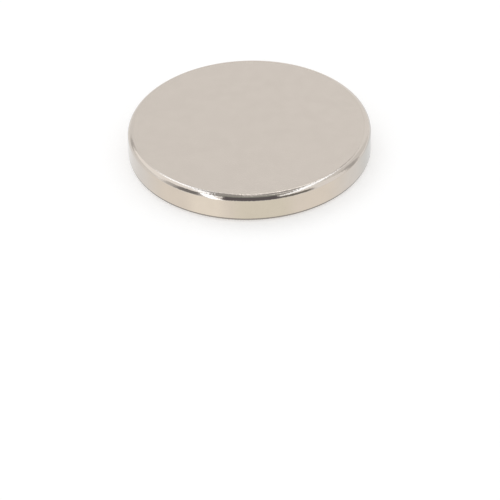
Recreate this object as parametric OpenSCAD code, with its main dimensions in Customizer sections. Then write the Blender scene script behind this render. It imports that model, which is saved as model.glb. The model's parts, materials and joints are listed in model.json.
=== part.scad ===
// Disc magnet: a flat round plate, ground on both faces, tumbled until its edges are round, then plated.
// It rests on its lower face. The origin is the middle of that face, and +Z runs up the disc's axis.

/* [Disc] */
// Diameter across the rim
disc_d = 25.4; // [8:0.1:60]
// Thickness from the lower face to the upper face
disc_t = 3.175; // [2:0.025:12]

/* [Tumbled edges] */
// Radius of the rounded edge round each face
edge_r = 0.65; // [0.1:0.05:0.9]

/* [Smoothness] */
// Steps round the rim in the preview
rim_steps = 180; // [60:12:360]
// Steps round a full turn of the edge's section in the preview
edge_steps = 64; // [16:8:96]

/* [Hidden] */

// Radius of the rim, and of the flat part of each face inside the rounded edge
rim_r = disc_d / 2;
flat_r = rim_r - edge_r;

// Height of the straight wall of the rim between the two rounded edges
wall_h = disc_t - 2 * edge_r;

// Heights at which the lower and the upper rounded edge are centred
edge_heights = [edge_r, disc_t - edge_r];

// Half of the disc's section, from the axis out to the rim. The plate between the faces and the band of
// the rim cross each other, and a round bead of the edge's radius fills each corner tangent to both.
module half_section() {
    square([flat_r, disc_t]);
    translate([0, edge_r])
        square([rim_r, wall_h]);
    for (height = edge_heights)
        translate([flat_r, height])
            circle(r = edge_r, $fn = edge_steps);
}

// The disc: its half section turned once round the axis
module disc() {
    color([0.80, 0.76, 0.72])
        rotate_extrude($fn = rim_steps)
            half_section();
}

disc();
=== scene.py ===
"""Disc magnet: the plated disc, the plain studio round it, and the camera that looks down on it.

Lengths are in metres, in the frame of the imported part: the disc rests on z = 0 and its axis is +Z.
A direction in the studio is a turn round the disc and a height above the horizon, both in degrees.
The turn is 0 towards the camera and grows towards the camera's right.
"""

from __future__ import annotations

import json
import logging
import math
from dataclasses import dataclass
from enum import Enum
from typing import Any

import bpy
import numpy as np
from mathutils import Matrix, Vector

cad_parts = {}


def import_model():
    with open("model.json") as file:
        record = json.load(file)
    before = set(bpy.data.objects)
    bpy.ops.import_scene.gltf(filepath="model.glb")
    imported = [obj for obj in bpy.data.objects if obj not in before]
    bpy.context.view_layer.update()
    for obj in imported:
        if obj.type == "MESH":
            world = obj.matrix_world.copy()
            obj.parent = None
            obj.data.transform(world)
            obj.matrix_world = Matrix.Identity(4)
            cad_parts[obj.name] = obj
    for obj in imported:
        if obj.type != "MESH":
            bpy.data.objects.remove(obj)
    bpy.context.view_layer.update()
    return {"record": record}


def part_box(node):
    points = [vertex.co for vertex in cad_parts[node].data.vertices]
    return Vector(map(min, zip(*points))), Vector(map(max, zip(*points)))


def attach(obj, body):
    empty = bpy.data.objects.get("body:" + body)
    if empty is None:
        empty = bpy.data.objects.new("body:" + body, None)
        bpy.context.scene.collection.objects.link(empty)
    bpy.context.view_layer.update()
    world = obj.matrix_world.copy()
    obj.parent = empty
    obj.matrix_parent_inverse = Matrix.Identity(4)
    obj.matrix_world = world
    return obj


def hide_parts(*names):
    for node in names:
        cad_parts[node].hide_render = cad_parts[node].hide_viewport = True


frame: dict[str, Any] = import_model()

Colour = tuple[float, float, float]
Span = tuple[float, float]
LOG = logging.getLogger("disc_magnet")

# Units
MM = 0.001
MICRON = 1e-6

# Names in the imported part, and the two attributes that materials read
NODE = "disc"
SLOT = "nickel_plate"
BODY = "root"
TILT = "tilt"
COVER = "cover"

# Light tints
WHITE: Colour = (1.0, 1.0, 1.0)
COOL: Colour = (0.92, 0.98, 1.06)

# How far a studio sheet hangs from the disc's edge
FAR = 1.0
NEAR = 4.0 * MM

# Turns and heights that several sheets share, and the fade at the two ends of a sheet that goes all round
ALL_ROUND: Span = (-180.0, 180.0)
ON_TABLE: Span = (-90.0, -8.0)
SEAM = 0.1

# The kinds of ray that pass a studio sheet by, which leaves the rays of a mirror
HIDDEN_SETTINGS = ("visible_camera", "visible_diffuse", "visible_transmission", "visible_volume_scatter",
                   "visible_shadow")


class Ray(Enum):
    """The kinds of light path for which a white ground shows as pure white."""

    CAMERA = "Is Camera Ray"
    GLOSSY = "Is Glossy Ray"
    TRANSMISSION = "Is Transmission Ray"


def smoothstep(values: np.ndarray) -> np.ndarray:
    """Clamps values to 0..1 and eases them: 3 v squared minus 2 v cubed."""
    clamped = np.clip(values, 0.0, 1.0)
    return clamped * clamped * (3.0 - 2.0 * clamped)


def direction(turn: np.ndarray | float, height: np.ndarray | float) -> np.ndarray:
    """Gives the unit vectors of studio directions.

    A turn a and a height h give (sin a cos h, -cos a cos h, sin h).

    Args:
        turn: turns round the disc in degrees, 0 towards the camera.
        height: heights above the horizon in degrees.

    Returns:
        The vectors, in an array whose last axis is x, y, z.
    """
    a, h = np.broadcast_arrays(np.radians(turn), np.radians(height))
    return np.stack([np.sin(a) * np.cos(h), -np.cos(a) * np.cos(h), np.sin(h)], axis=-1)


class NodeSheet:
    """A shader's node tree while it is being wired."""

    def __init__(self, tree: bpy.types.NodeTree) -> None:
        """Empties the tree, so that only what is wired here is in it."""
        self.tree = tree
        tree.nodes.clear()

    def plug(self, socket: bpy.types.NodeSocket, value: Any) -> None:
        """Links an output to a socket, or sets the socket's own value.

        Args:
            socket: the input to feed.
            value: another node's output, a number, or a colour.
        """
        if isinstance(value, bpy.types.NodeSocket):
            self.tree.links.new(value, socket)
        elif isinstance(value, tuple):
            socket.default_value = (*value, 1.0)
        else:
            socket.default_value = value

    def add(self, kind: str, **settings: Any) -> bpy.types.Node:
        """Adds a node.

        Args:
            kind: the node's type, without the words that all shader nodes start with.
            settings: the node's own properties.

        Returns:
            The new node.
        """
        node = self.tree.nodes.new(f"ShaderNode{kind}")
        for name, value in settings.items():
            setattr(node, name, value)
        return node

    def feed(self, node: bpy.types.Node, **values: Any) -> bpy.types.Node:
        """Sets or links a node's inputs by name.

        Args:
            node: the node to feed.
            values: input names, with an underscore for each space, and what to plug in.

        Returns:
            The same node.
        """
        for name, value in values.items():
            self.plug(node.inputs[name.replace("_", " ")], value)
        return node

    def wire(self, node: bpy.types.Node, *values: Any) -> bpy.types.NodeSocket:
        """Sets or links a node's inputs in their order.

        Args:
            node: the node to feed.
            values: what to plug in.

        Returns:
            The node's first output.
        """
        for index, value in enumerate(values):
            self.plug(node.inputs[index], value)
        return node.outputs[0]

    def maths(self, operation: str, *values: Any) -> bpy.types.NodeSocket:
        """Adds a Math node of one operation on the values, and gives its output."""
        return self.wire(self.add("Math", operation=operation), *values)

    def ramp(self, value: bpy.types.NodeSocket, source: Span,
             target: Span = (0.0, 1.0)) -> bpy.types.NodeSocket:
        """Maps a value from one span to another with eased ends.

        Args:
            value: the output to map.
            source: the values that give the ends of the target.
            target: the results at those values.

        Returns:
            The mapped output.
        """
        node = self.add("MapRange", interpolation_type="SMOOTHSTEP")
        return self.wire(node, value, *source, *target)

    def noise(self, place: bpy.types.NodeSocket, grain: float, detail: float) -> bpy.types.NodeSocket:
        """Adds a noise whose grain has a real size.

        Args:
            place: the output that gives the place.
            grain: the size of a grain in metres.
            detail: how many finer octaves it has.

        Returns:
            The noise's value, about 0.5 on average.
        """
        node = self.feed(self.add("TexNoise"), Vector=place, Scale=1.0 / grain, Detail=detail)
        return node.outputs["Fac"]

    def seen(self) -> bpy.types.NodeSocket:
        """Gives 1 on the rays of the eye, of a mirror and through glass, and 0 on the rest."""
        path = self.add("LightPath")
        total = self.maths("MAXIMUM", path.outputs[Ray.CAMERA.value], path.outputs[Ray.GLOSSY.value])
        return self.maths("MAXIMUM", total, path.outputs[Ray.TRANSMISSION.value])


def new_material(name: str) -> tuple[bpy.types.Material, NodeSheet]:
    """Makes a material whose node tree is empty, and the sheet to wire it on."""
    material = bpy.data.materials.new(name)
    material.use_nodes = True
    return material, NodeSheet(material.node_tree)


def new_object(name: str, places: np.ndarray, faces: list[list[int]], material: bpy.types.Material,
               values: dict[str, np.ndarray]) -> bpy.types.Object:
    """Puts a worked-out surface into the scene as a smooth mesh at the origin.

    Args:
        name: the object's name.
        places: the corners' places, one row each.
        faces: the corners of each face, in the order that turns its front outwards.
        material: the finish of every face.
        values: named numbers that the material reads, one for each corner.

    Returns:
        The new object.
    """
    mesh = bpy.data.meshes.new(name)
    mesh.from_pydata(places.tolist(), [], faces)
    for label, numbers in values.items():
        mesh.attributes.new(label, "FLOAT", "POINT").data.foreach_set("value", numbers.astype(np.float32))
    mesh.materials.append(material)
    mesh.shade_smooth()
    mesh.validate()
    mesh.update()
    made = bpy.data.objects.new(name, mesh)
    bpy.context.scene.collection.objects.link(made)
    return made


@dataclass(frozen=True)
class NickelPlate:
    """Bright nickel plating over a ground and tumbled disc.

    The ground faces scatter a little more than the pressed wall, and the tumbled edge between them is
    the brightest. Faint clouds lie in the plating, and the edge has the fine dents of tumbling.

    Attributes:
        tone: colour of the metal.
        face_roughness: roughness of the two faces.
        wall_roughness: roughness of the straight wall of the rim.
        edge_roughness: roughness of the tumbled edge.
        face_end: the tilt at which the look of the face has given way to that of the edge.
        wall_start: the tilt at which the look of the edge starts to give way to that of the wall.
        cloud: size of the faint clouds.
        cloud_octaves: how many finer octaves the clouds have.
        cloud_span: the noise values between which a cloud goes from its faintest to its fullest.
        cloud_tone: by what share a cloud is lighter or darker.
        cloud_roughness: by how much a cloud is rougher or smoother.
        grain: size of the fine dents.
        grain_octaves: how many finer octaves the dents have.
        face_relief: height of the dents on the faces and the wall.
        edge_relief: height of the dents on the tumbled edge.
    """

    tone: Colour = (0.672, 0.610, 0.548)
    face_roughness: float = 0.15
    wall_roughness: float = 0.13
    edge_roughness: float = 0.07
    face_end: float = 0.06
    wall_start: float = 0.90
    cloud: float = 1.3 * MM
    cloud_octaves: float = 3.0
    cloud_span: Span = (0.3, 0.7)
    cloud_tone: float = 0.012
    cloud_roughness: float = 0.008
    grain: float = 0.20 * MM
    grain_octaves: float = 2.0
    face_relief: float = 0.15 * MICRON
    edge_relief: float = 10.0 * MICRON

    def material(self) -> bpy.types.Material:
        """Wires the plating.

        Returns:
            The material. It reads the piece's Object coordinates, and its tilt attribute, which is
            0 on a face and 1 on the wall.
        """
        material, sheet = new_material(SLOT)
        place = sheet.add("TexCoord").outputs["Object"]
        tilt = sheet.add("Attribute", attribute_name=TILT).outputs["Fac"]
        off_face = sheet.ramp(tilt, (0.0, self.face_end))
        on_wall = sheet.ramp(tilt, (self.wall_start, 1.0))
        on_edge = sheet.maths("SUBTRACT", off_face, on_wall)

        mottle = sheet.noise(place, self.cloud, self.cloud_octaves)
        clouds = sheet.ramp(mottle, self.cloud_span, (-1.0, 1.0))
        shade = sheet.maths("MULTIPLY_ADD", clouds, self.cloud_tone, 1.0)
        toned = sheet.feed(sheet.add("VectorMath", operation="SCALE"), Scale=shade)
        toned.inputs[0].default_value = self.tone

        rise = self.edge_roughness - self.face_roughness
        level = sheet.maths("MULTIPLY_ADD", off_face, rise, self.face_roughness)
        level = sheet.maths("MULTIPLY_ADD", on_wall, self.wall_roughness - self.edge_roughness, level)
        roughness = sheet.maths("MULTIPLY_ADD", clouds, self.cloud_roughness, level)

        relief = sheet.maths("MULTIPLY_ADD", on_edge, self.edge_relief - self.face_relief, self.face_relief)
        height = sheet.maths("MULTIPLY", sheet.noise(place, self.grain, self.grain_octaves), relief)
        bump = sheet.feed(sheet.add("Bump"), Strength=1.0, Distance=1.0, Height=height)

        metal = sheet.feed(sheet.add("BsdfPrincipled"), Metallic=1.0, Roughness=roughness)
        sheet.feed(metal, Base_Color=toned.outputs[0], Normal=bump.outputs[0])
        sheet.feed(sheet.add("OutputMaterial"), Surface=metal.outputs[0])
        return material


@dataclass(frozen=True)
class Tumbling:
    """The slight unevenness that tumbling leaves on the rounded edge, as a sum of waves round the rim.

    Attributes:
        depth: about how deep the unevenness is.
        fewest: the fewest waves round the rim.
        most: the most waves round the rim.
        waves: how many waves are added together.
        drift: by how many radians a wave may shift across the edge.
        seed: seed of the random draws.
    """

    depth: float = 3.0 * MICRON
    fewest: int = 5
    most: int = 110
    waves: int = 28
    drift: float = 4.0
    seed: int = 11

    def hollows(self, angles: np.ndarray, tilts: np.ndarray) -> np.ndarray:
        """Works out how far the surface lies under the true form.

        Each wave is a cosine of its whole number of turns round the rim, plus a drift across the edge,
        plus a phase. Their sum is scaled to the depth, and fades out to the faces and the wall as
        4 t (1 - t), where t is the tilt.

        Args:
            angles: angles round the axis in radians, as a column of the grid.
            tilts: tilts of the surface, 0 on a face and 1 on the wall, as a row of the grid.

        Returns:
            The depths on the grid, none under zero.
        """
        draw = np.random.default_rng(self.seed)
        counts = np.geomspace(self.fewest, self.most, self.waves).round()[:, None, None]
        drifts = draw.uniform(-self.drift, self.drift, (self.waves, 1, 1))
        phases = draw.uniform(0.0, math.tau, (self.waves, 1, 1))
        waves = np.cos(counts * angles + drifts * tilts + phases) / np.sqrt(counts)
        total = waves.sum(axis=0)
        share = (total - total.min()) / (total.max() - total.min())
        return self.depth * share * 4.0 * tilts * (1.0 - tilts)


@dataclass(frozen=True)
class MagnetDisc:
    """The disc: two flat faces, a straight rim, and a tumbled edge round each face.

    Attributes:
        rim_radius: from the axis to the straight wall of the rim.
        thickness: from the lower face to the upper face.
        edge_radius: radius of the rounded edge round each face.
        plating: the finish of the whole disc.
        tumbling: the unevenness of the rounded edges.
        spokes: how many parts the turn round the axis has.
        face_rings: how many rings each flat face has.
        edge_rings: how many rings each rounded edge has.
        wall_rings: how many rings the straight wall has.
        margin: width of the narrow ring that ends each flat face.
        name: what its object is called.
    """

    rim_radius: float
    thickness: float
    edge_radius: float
    plating: NickelPlate
    tumbling: Tumbling
    spokes: int = 720
    face_rings: int = 16
    edge_rings: int = 20
    wall_rings: int = 12
    margin: float = 0.05 * MM
    name: str = "plated_disc"

    @classmethod
    def from_record(cls, record: dict[str, Any], plating: NickelPlate, tumbling: Tumbling) -> MagnetDisc:
        """Takes the disc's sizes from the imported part.

        The thickness is the height of the node's box, and what the straight wall leaves of it is
        shared by the two rounded edges.

        Args:
            record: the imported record.
            plating: the finish of the whole disc.
            tumbling: the unevenness of the rounded edges.

        Returns:
            The disc.
        """
        low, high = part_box(NODE)
        rim = next(mount for mount in record["mounts"] if mount["name"] == "rim")
        thickness = high[2] - low[2]
        wall = rim["dims"]["length_mm"] * MM
        return cls(rim["dims"]["r_mm"] * MM, thickness, (thickness - wall) / 2.0, plating, tumbling)

    def half_section(self) -> tuple[np.ndarray, np.ndarray, np.ndarray]:
        """Works out the section from the first ring of the upper face to the last of the lower face.

        The rounded edge at an angle a from upright lies at the flat radius plus r sin a, and at r minus
        r cos a under the face, where r is the edge's radius.

        Returns:
            The radius, the height and the tilt of each ring, the tilt as a share of a right angle.
        """
        flat = self.rim_radius - self.edge_radius
        face = np.append(np.linspace(0.0, flat - self.margin, self.face_rings)[1:], flat)
        share = np.linspace(0.0, 1.0, self.edge_rings + 1)[1:]
        turn = share * math.pi / 2.0
        edge_out = flat + self.edge_radius * np.sin(turn)
        edge_down = self.edge_radius * (1.0 - np.cos(turn))
        radii = np.concatenate([face, edge_out])
        drops = np.concatenate([np.zeros_like(face), edge_down])
        tilts = np.concatenate([np.zeros_like(face), share])
        wall = np.linspace(self.edge_radius, self.thickness - self.edge_radius, self.wall_rings + 1)[1:-1]
        return (
            np.concatenate([radii, np.full_like(wall, self.rim_radius), radii[::-1]]),
            np.concatenate([self.thickness - drops, wall[::-1], drops[::-1]]),
            np.concatenate([tilts, np.ones_like(wall), tilts[::-1]]),
        )

    def surface(self) -> tuple[np.ndarray, np.ndarray]:
        """Turns the section round the axis.

        A ring of radius p and height z puts the point of angle a at (p cos a, p sin a, z). The hollows
        of the tumbled edge are taken off along the surface's own outward direction, which leans from
        the axis by the tilt. One point closes the middle of each face.

        Returns:
            The places, spoke by spoke and from the upper face to the lower, then the two middle points,
            and the tilt of each place.
        """
        radii, heights, tilts = self.half_section()
        angles = np.arange(self.spokes)[:, None] * (math.tau / self.spokes)
        hollows = self.tumbling.hollows(angles, tilts[None, :])
        lean = tilts * math.pi / 2.0
        side = np.where(heights > self.thickness / 2.0, 1.0, -1.0)
        rho = radii - hollows * np.sin(lean)
        z = heights - hollows * np.cos(lean) * side
        places = np.stack([rho * np.cos(angles), rho * np.sin(angles), z], axis=-1).reshape(-1, 3)
        middles = np.array([[0.0, 0.0, self.thickness], [0.0, 0.0, 0.0]])
        return np.concatenate([places, middles]), np.append(np.tile(tilts, self.spokes), [0.0, 0.0])

    def faces(self) -> list[list[int]]:
        """Lists the faces: four-sided between the rings, three-sided round the two middle points."""
        rings = self.half_section()[0].size
        spoke = np.arange(self.spokes)[:, None] * rings
        after = np.roll(spoke, -1, axis=0)
        ring = np.arange(rings - 1)[None, :]
        here, beside = spoke + ring, after + ring
        quads = np.stack([here, here + 1, beside + 1, beside], axis=-1).reshape(-1, 4)
        upper, lower = self.spokes * rings, self.spokes * rings + 1
        first, second = spoke[:, 0], after[:, 0]
        cap = np.stack([np.full_like(first, upper), first, second], axis=-1)
        base = np.stack([np.full_like(first, lower), second + rings - 1, first + rings - 1], axis=-1)
        return quads.tolist() + cap.tolist() + base.tolist()

    def build(self) -> bpy.types.Object:
        """Makes the dressed disc, which stands for the plain solid and takes its finish's slot.

        Returns:
            The disc's object.
        """
        places, tilts = self.surface()
        made = new_object(self.name, places, self.faces(), self.plating.material(), {TILT: tilts})
        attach(made, BODY)
        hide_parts(NODE)
        return made


@dataclass(frozen=True)
class Floor:
    """A plain white floor that keeps a soft shadow.

    Attributes:
        radius: how far it reaches.
        tone: its grey as a surface.
        fill: the plain white that is added where it is looked at or mirrored, so that open floor is white.
        sides: how many sides its outline has.
        name: what its object and its material are called.
    """

    radius: float = 4.0
    tone: float = 0.70
    fill: float = 0.41
    sides: int = 96
    name: str = "studio_floor"

    def material(self) -> bpy.types.Material:
        """Wires the floor: a grey surface plus white where a ray of the eye or of a mirror meets it.

        Returns:
            The material.
        """
        material, sheet = new_material(self.name)
        surface = sheet.feed(sheet.add("BsdfDiffuse"), Color=(self.tone,) * 3)
        glow = sheet.feed(sheet.add("Emission"), Strength=sheet.maths("MULTIPLY", sheet.seen(), self.fill))
        both = sheet.wire(sheet.add("AddShader"), surface.outputs[0], glow.outputs[0])
        sheet.feed(sheet.add("OutputMaterial"), Surface=both)
        return material

    def build(self) -> bpy.types.Object:
        """Makes the floor as a flat round sheet under the disc.

        Returns:
            The floor's object.
        """
        angles = np.arange(self.sides) * (math.tau / self.sides)
        outline = np.stack([np.cos(angles), np.sin(angles), np.zeros_like(angles)], axis=-1)
        places = self.radius * outline
        made = new_object(self.name, places, [list(range(self.sides))], self.material(), {})
        return made


@dataclass(frozen=True)
class Panel:
    """A soft-edged sheet of even brightness that only the metal mirrors.

    It hangs round the disc at an even reach from the disc's edge. What would lie under the floor runs
    over the floor towards the disc instead.

    Attributes:
        name: what it is.
        turns: the turns of its left and right edge.
        heights: the heights of its lower and upper edge, at the middle of its width.
        glow: its brightness, where 1 is the white of the ground.
        tint: its colour.
        feather: how many degrees its edges take to fade, in turn and in height.
        bows: how many degrees the two ends of its lower and of its upper edge hang lower than the middle.
        slant: how many degrees its right end hangs higher than its left one.
        lean: how many degrees it turns to the right for each degree that it rises.
        reach: how far it hangs from the disc's edge.
    """

    name: str
    turns: Span
    heights: Span
    glow: float
    tint: Colour = WHITE
    feather: Span = (5.0, 5.0)
    bows: Span = (0.0, 0.0)
    slant: float = 0.0
    lean: float = 0.0
    reach: float = FAR

    def material(self) -> bpy.types.Material:
        """Wires the panel: its own glow where it covers, and nothing where it has faded.

        Returns:
            The material. It reads the panel's cover attribute.
        """
        material, sheet = new_material(self.name)
        cover = sheet.add("Attribute", attribute_name=COVER).outputs["Fac"]
        glow = sheet.feed(sheet.add("Emission"), Color=self.tint, Strength=self.glow)
        clear = sheet.add("BsdfTransparent")
        fade = sheet.wire(sheet.add("MixShader"), cover, clear.outputs[0], glow.outputs[0])
        sheet.feed(sheet.add("OutputMaterial"), Surface=fade)
        return material

    def build(self, hanging: Hanging, layer: int) -> bpy.types.Object:
        """Makes the panel.

        It runs evenly from edge to edge in turn and height. With s from -1 to 1 across its width, its
        lower and upper edge hang higher by half the slant times s, and lower by their bow times s
        squared. Its cover is the product of an eased rise from each edge over the feather's width.

        Args:
            hanging: how sheets hang round the disc.
            layer: how many sheets hang behind it.

        Returns:
            The panel's object.
        """
        steps = hanging.steps
        line = np.linspace(0.0, 1.0, steps + 1)
        u, v = np.meshgrid(line, line, indexing="ij")
        across = 2.0 * u - 1.0
        lower = self.heights[0] + self.slant / 2.0 * across - self.bows[0] * across ** 2
        upper = self.heights[1] + self.slant / 2.0 * across - self.bows[1] * across ** 2
        wide, high = self.turns[1] - self.turns[0], upper - lower
        turn = self.turns[0] + u * wide + self.lean * v * high
        places = hanging.places(turn, lower + v * high, layer, self.reach).reshape(-1, 3)
        cover = smoothstep(np.minimum(u, 1.0 - u) * wide / self.feather[0])
        cover = cover * smoothstep(np.minimum(v, 1.0 - v) * high / self.feather[1])
        row = steps + 1
        corner = np.arange(steps)[:, None] * row + np.arange(steps)[None, :]
        quads = np.stack([corner, corner + 1, corner + row + 1, corner + row], axis=-1).reshape(-1, 4)
        made = new_object(self.name, places, quads.tolist(), self.material(), {COVER: cover.ravel()})
        for setting in HIDDEN_SETTINGS:
            setattr(made, setting, False)
        return made


@dataclass(frozen=True)
class Hanging:
    """How sheets hang round the disc, each new one a little nearer than the one before.

    Attributes:
        rim_radius: radius of the disc.
        edge_height: height of the disc's upper edge over the floor.
        nearing: by what share of its reach each next one hangs nearer.
        lift_step: how much higher over the floor each next one lies.
        shallowest: the shallowest slope that is told from level, in degrees.
        steps: how many parts a sheet has each way.
    """

    rim_radius: float
    edge_height: float
    nearing: float = 0.01
    lift_step: float = 0.01 * MM
    shallowest: float = 0.1
    steps: int = 72

    def places(self, turns: np.ndarray, heights: np.ndarray, layer: int, reach: float) -> np.ndarray:
        """Puts the points of a sheet into the studio.

        The place on the rim that mirrors a turn to the camera lies at half that turn. From the disc's
        edge there, a line runs towards the point's turn and height for the sheet's reach. A line that
        runs down ends where it meets the floor, at the edge's height over the sine of its slope, if
        that is nearer. Past upright, the point lies under the disc.

        Args:
            turns: the points' turns in degrees.
            heights: the points' heights in degrees.
            layer: how many sheets hang behind this one.
            reach: how far the sheet hangs from the disc's edge.

        Returns:
            The places, with x, y, z as the last axis.
        """
        edge = self.rim_radius * direction(turns / 2.0, 0.0)
        edge[..., 2] = self.edge_height
        slope = np.radians(np.maximum(-heights, self.shallowest))
        length = np.minimum(reach * (1.0 - layer * self.nearing), self.edge_height / np.sin(slope))
        places = edge + length[..., None] * direction(turns, heights)
        places[..., 2] = np.maximum(places[..., 2], self.lift_step * (layer + 1))
        return places


@dataclass(frozen=True)
class Sky:
    """The white surround. It shows as pure white, and lights the floor a little more softly.

    Attributes:
        shown: brightness where it is looked at or mirrored.
        lighting: brightness as a light.
    """

    shown: float = 1.0
    lighting: float = 0.85

    def build(self) -> None:
        """Wires the scene's world."""
        world = bpy.data.worlds.new("studio_sky")
        world.use_nodes = True
        bpy.context.scene.world = world
        sheet = NodeSheet(world.node_tree)
        strength = sheet.maths("MULTIPLY_ADD", sheet.seen(), self.shown - self.lighting, self.lighting)
        ground = sheet.feed(sheet.add("Background"), Color=WHITE, Strength=strength)
        sheet.feed(sheet.add("OutputWorld"), Surface=ground.outputs[0])


@dataclass(frozen=True)
class KeyLamp:
    """A soft round lamp that gives the shadow its side. The metal doesn't mirror it.

    Attributes:
        turn: its turn round the disc.
        height: its height above the horizon.
        distance: how far it stands from the disc.
        width: how wide it is.
        energy: its power in watts.
        name: what its object is called.
    """

    turn: float = -140.0
    height: float = 55.0
    distance: float = 0.8
    width: float = 0.5
    energy: float = 0.35
    name: str = "key_lamp"

    def build(self) -> None:
        """Makes the lamp, facing the disc."""
        data = bpy.data.lights.new(self.name, "AREA")
        data.shape = "DISK"
        data.size = self.width
        data.energy = self.energy
        made = bpy.data.objects.new(self.name, data)
        place = Vector(direction(self.turn, self.height).tolist()) * self.distance
        made.matrix_world = Matrix.Translation(place) @ place.to_track_quat("Z", "Y").to_matrix().to_4x4()
        made.visible_camera = False
        made.visible_glossy = False
        bpy.context.scene.collection.objects.link(made)


@dataclass(frozen=True)
class CameraStand:
    """The camera, set so that the disc lands where it lies in the photograph.

    Attributes:
        elevation: how far it looks down, in degrees.
        roll: how far the picture turns anticlockwise, in degrees.
        distance: from the camera to the plane of the upper face's middle.
        radius_px: how long the disc's radius is in the picture.
        middle_px: where the middle of the upper face lies in the picture.
        picture_px: width and height of the picture.
        sensor: width of the sensor in millimetres.
        name: what its object is called.
    """

    elevation: float = 36.1
    roll: float = 1.52
    distance: float = 0.635
    radius_px: float = 121.72
    middle_px: Span = (249.16, 126.68)
    picture_px: float = 500.0
    sensor: float = 36.0
    name: str = "camera"

    def build(self, disc: MagnetDisc) -> bpy.types.Object:
        """Makes the camera and gives it to the scene.

        The picture's middle is the camera's axis. The camera is moved sideways and upwards in its own
        plane by the face's distance from that middle, which is worked out at the disc's scale.

        Args:
            disc: the disc that it looks at.

        Returns:
            The camera's object.
        """
        scale = self.radius_px / disc.rim_radius
        data = bpy.data.cameras.new(self.name)
        data.sensor_width = self.sensor
        data.lens = self.distance * scale * self.sensor / self.picture_px
        back = Vector(direction(0.0, self.elevation).tolist())
        roll = Matrix.Rotation(-math.radians(self.roll), 4, "Z")
        turn = back.to_track_quat("Z", "Y").to_matrix().to_4x4() @ roll
        right, up = turn.col[0].to_3d(), turn.col[1].to_3d()
        half = self.picture_px / 2.0
        aside = (self.middle_px[0] - half) / scale
        above = (half - self.middle_px[1]) / scale
        stand = Vector((0.0, 0.0, disc.thickness)) + back * self.distance - right * aside - up * above
        made = bpy.data.objects.new(self.name, data)
        made.matrix_world = Matrix.Translation(stand) @ turn
        bpy.context.scene.collection.objects.link(made)
        bpy.context.scene.camera = made
        return made


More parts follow.
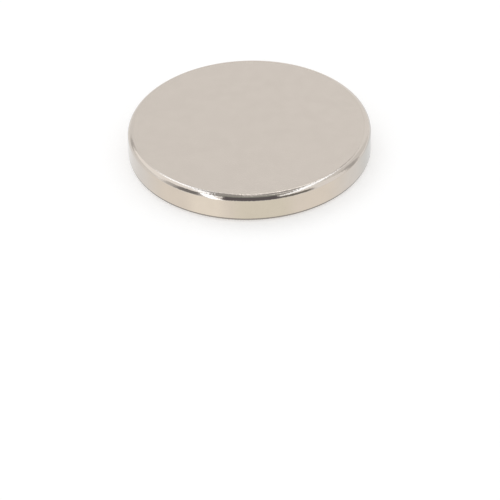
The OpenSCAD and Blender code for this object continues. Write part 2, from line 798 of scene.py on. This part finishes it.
@dataclass(frozen=True)
class Studio:
    """The plain studio: white floor and surround, and the sheets that shape the metal.

    The sheets are a tent with a grey ceiling, a long light along each border of the ceiling, a strip
    light on the left, and dark cloths. The cloths in front and the strip light are low and stand close
    to the disc, so its edge mirrors them and the middle of its face doesn't. The floor near the disc
    is warmer in front as the metal mirrors it, with a painted pool of light at the front left.

    Attributes:
        floor: the floor.
        sky: the surround.
        lamp: the lamp.
        panels: what the metal mirrors, from back to front.
    """

    floor: Floor = Floor()
    sky: Sky = Sky()
    lamp: KeyLamp = KeyLamp()
    panels: tuple[Panel, ...] = (
        # The table, with a painted pool of light on it
        Panel("table", ALL_ROUND, (-90.0, -1.0), 1.0, tint=(0.900, 0.910, 0.920), feather=(SEAM, 4.0)),
        Panel("table_front", (-128.0, 114.0), ON_TABLE, 1.0, tint=(0.975, 0.940, 0.885), feather=(45.0, 4.0)),
        Panel("table_middle", (-24.0, 46.0), ON_TABLE, 1.0, tint=(0.915, 0.900, 0.810), feather=(18.0, 4.0)),
        # A painted pool of light at the front left of the table, which only the metal mirrors
        Panel("table_light_pool", (-68.0, -18.0), ON_TABLE, 1.0, tint=(1.085, 1.050, 0.975), feather=(16.0, 4.0)),
        Panel("table_corner", (112.0, 180.0), ON_TABLE, 1.0, tint=(0.800, 0.830, 0.850), feather=(30.0, 4.0)),
        # The walls and the ceiling
        Panel("back_wall", (140.0, 220.0), (0.0, 50.0), 0.889, tint=(1.0, 0.994, 0.992), feather=(8.0, 6.0)),
        Panel("ceiling", ALL_ROUND, (48.0, 90.0), 0.42, feather=(SEAM, 4.0)),
        Panel("left_wall", (-158.0, -50.0), (0.0, 69.0), 1.10, feather=(10.0, 4.0), bows=(0.0, 14.0)),
        Panel("left_skirt", (-156.0, -82.0), (-8.0, 22.0), 0.86, feather=(12.0, 12.0)),
        Panel("left_corner", (-180.0, -136.0), (0.0, 50.0), 0.86, feather=(8.0, 4.0)),
        Panel("right_wall", (36.0, 100.0), (0.0, 63.0), 0.98, feather=(8.0, 4.0), bows=(0.0, 6.0)),
        Panel("right_corner", (90.0, 168.0), (0.0, 66.0), 0.79, feather=(8.0, 4.0), bows=(0.0, 8.0)),
        Panel("right_back", (128.0, 184.0), (0.0, 60.0), 0.92, feather=(14.0, 8.0)),
        Panel("left_gap", (-136.0, -120.0), (0.0, 36.0), 0.56, feather=(5.0, 6.0), lean=-0.55),
        # The borders of the ceiling and the lights along them
        Panel("back_border", (160.0, 192.0), (40.5, 50.0), 0.25, feather=(5.0, 1.5), bows=(-2.0, -2.0)),
        Panel("back_line", (169.0, 187.0), (44.0, 53.0), 2.35, feather=(4.0, 1.5)),
        Panel("left_arch", (-173.0, -30.0), (65.3, 76.5), 1.8,
              tint=COOL, feather=(5.0, 3.5), bows=(29.8, 29.8), slant=-9.0),
        Panel("right_arch", (28.0, 168.0), (58.6, 73.3), 1.75,
              tint=COOL, feather=(5.0, 3.5), bows=(20.5, 24.9), slant=11.4),
        Panel("left_arch_end", (-176.0, -138.0), (49.5, 58.5), 1.9, tint=COOL, feather=(5.0, 2.5)),
        Panel("right_light", (66.0, 114.0), (70.0, 89.0), 1.15, feather=(14.0, 6.0)),
        # The cloths, and the strip light between them
        Panel("left_fold", (-94.0, -58.0), (-8.0, 49.0), 0.60, feather=(12.0, 7.0), reach=NEAR),
        Panel("left_cloth", (-80.0, -41.0), (-8.0, 57.0), 0.25, feather=(13.0, 8.0), reach=NEAR),
        Panel("strip_light", (-39.0, -22.5), (-18.0, 56.0), 2.1,
              tint=COOL, feather=(4.0, 8.0), lean=-0.22, reach=NEAR),
        Panel("grey_cloth", (91.0, 114.0), (-14.0, 40.0), 0.52, feather=(8.0, 7.0)),
        Panel("right_cloth", (18.0, 64.0), (-9.0, 35.0), 0.22,
              tint=(1.03, 1.00, 0.93), feather=(10.0, 7.0), reach=NEAR),
        Panel("camera_hood", (-36.0, 32.0), (52.0, 90.0), 0.36,
              tint=(0.98, 1.03, 0.97), feather=(7.0, 14.0), reach=NEAR),
        Panel("camera_cloth", (-30.0, 29.0), (-14.0, 72.0), 0.14,
              tint=(1.03, 0.97, 1.05), feather=(5.0, 15.0), reach=NEAR),
        # The shade where the disc rests
        Panel("contact_shade", ALL_ROUND, (-116.0, -86.0), 0.35, feather=(SEAM, 5.0)),
    )

    def build(self, disc: MagnetDisc) -> None:
        """Makes the studio's pieces in order.

        Args:
            disc: the disc that the sheets hang round.
        """
        self.sky.build()
        self.floor.build()
        self.lamp.build()
        hanging = Hanging(disc.rim_radius, disc.thickness - disc.edge_radius / 2.0)
        for layer, panel in enumerate(self.panels):
            panel.build(hanging, layer)


def main() -> None:
    """Builds the disc, the studio and the camera, and reports each piece."""
    logging.basicConfig(level=logging.INFO, format="%(name)s: %(message)s")
    bpy.context.scene.view_settings.view_transform = "Standard"
    disc = MagnetDisc.from_record(frame["record"], NickelPlate(), Tumbling())
    made = disc.build()
    LOG.info("%s: radius %.3f mm, edge %.3f mm, %d faces", made.name, disc.rim_radius / MM,
             disc.edge_radius / MM, len(made.data.polygons))
    studio = Studio()
    studio.build(disc)
    LOG.info("studio: floor, surround, lamp and %d panels", len(studio.panels))
    camera = CameraStand().build(disc)
    LOG.info("%s: lens %.1f mm", camera.name, camera.data.lens)


if __name__ == "__main__":
    main()
